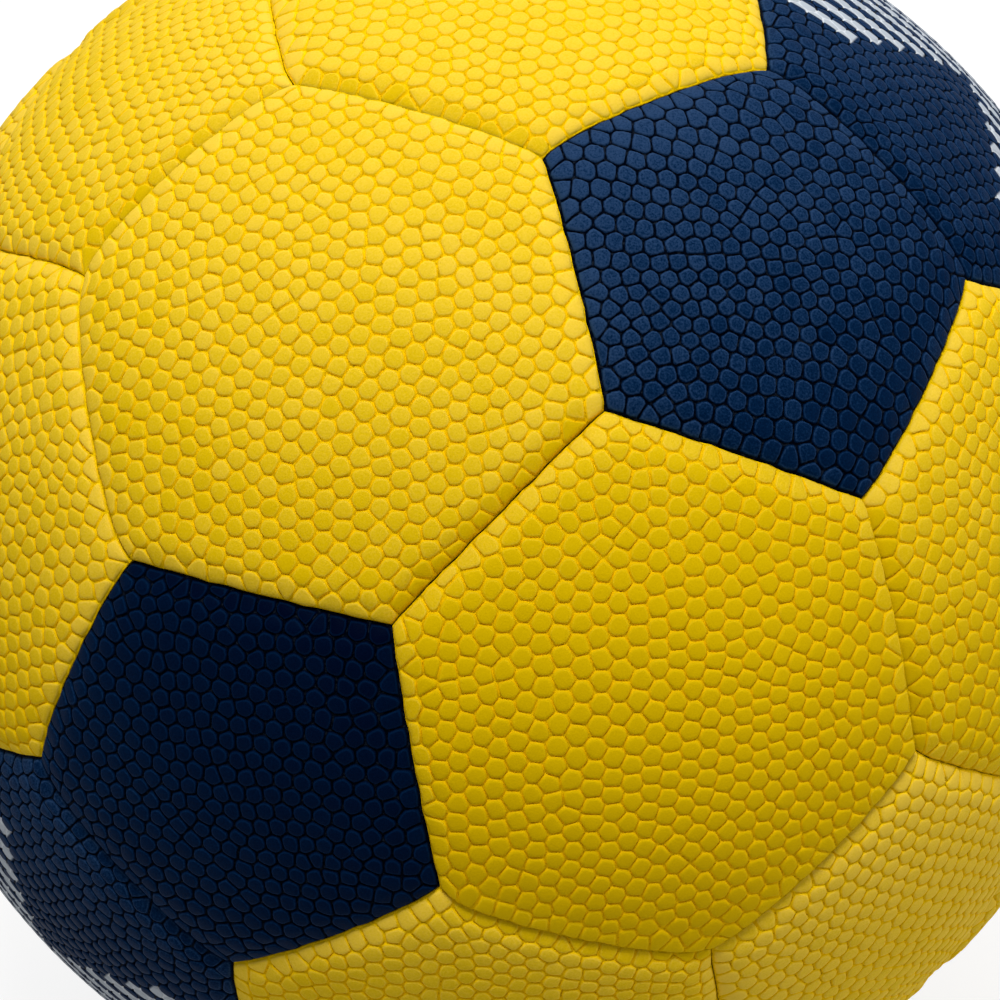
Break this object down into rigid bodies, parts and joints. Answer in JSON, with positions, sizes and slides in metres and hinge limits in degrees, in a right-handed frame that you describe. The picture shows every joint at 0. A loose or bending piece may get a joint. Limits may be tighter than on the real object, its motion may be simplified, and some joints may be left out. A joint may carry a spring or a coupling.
{
  "type": "handball",
  "caption": "Hand-stitched handball of hexagonal and pentagonal pebbled leather panels over foam, cloth and a latex bladder with a needle valve.",
  "frame": {"origin": "middle of the ball", "axes": "+Z out through the valve, in the middle of one hexagon; -Z out through the middle of the hexagon opposite; -Y on the side that the picture shows"},
  "size_m": [0.1878, 0.1878, 0.1877],
  "materials": {
    "yellow_leather": "matte pebbled grain",
    "navy_leather": "matte pebbled grain",
    "striped_navy_leather": "matte pebbled grain, navy with printed white stripes",
    "foam": "closed-cell foam",
    "cloth": "woven cotton and polyester",
    "thread": "waxed",
    "latex": "smooth natural latex",
    "patch_cloth": "rubbered cloth",
    "valve_rubber": "moulded",
    "insert_rubber": "moulded"
  },
  "bodies": {
    "root": {"hex_panel_01": "yellow_leather", "hex_panel_02": "striped_navy_leather", "hex_panel_03": "yellow_leather", "hex_panel_04": "yellow_leather", "hex_panel_05": "yellow_leather", "hex_panel_06": "yellow_leather", "hex_panel_07": "yellow_leather", "hex_panel_08": "yellow_leather", "hex_panel_09": "striped_navy_leather", "hex_panel_10": "yellow_leather", "hex_panel_11": "yellow_leather", "hex_panel_12": "yellow_leather", "hex_panel_13": "striped_navy_leather", "hex_panel_14": "yellow_leather", "hex_panel_15": "yellow_leather", "hex_panel_16": "yellow_leather", "hex_panel_17": "yellow_leather", "hex_panel_18": "yellow_leather", "hex_panel_19": "striped_navy_leather", "hex_panel_20": "yellow_leather", "pent_panel_01": "navy_leather", "pent_panel_02": "yellow_leather", "pent_panel_03": "yellow_leather", "pent_panel_04": "yellow_leather", "pent_panel_05": "navy_leather", "pent_panel_06": "yellow_leather", "pent_panel_07": "yellow_leather", "pent_panel_08": "navy_leather", "pent_panel_09": "yellow_leather", "pent_panel_10": "yellow_leather", "pent_panel_11": "yellow_leather", "pent_panel_12": "navy_leather", "hex_foam_backing": "foam", "pent_foam_backing": "foam", "hex_cloth_ply_1": "cloth", "hex_cloth_ply_2": "cloth", "hex_cloth_ply_3": "cloth", "pent_cloth_ply_1": "cloth", "pent_cloth_ply_2": "cloth", "pent_cloth_ply_3": "cloth", "pentagon_seam_thread": "thread", "hexagon_seam_thread": "thread", "bladder": "latex", "valve_patch": "patch_cloth", "valve_housing": "valve_rubber", "valve_insert": "insert_rubber"}
  },
  "joints": []
}
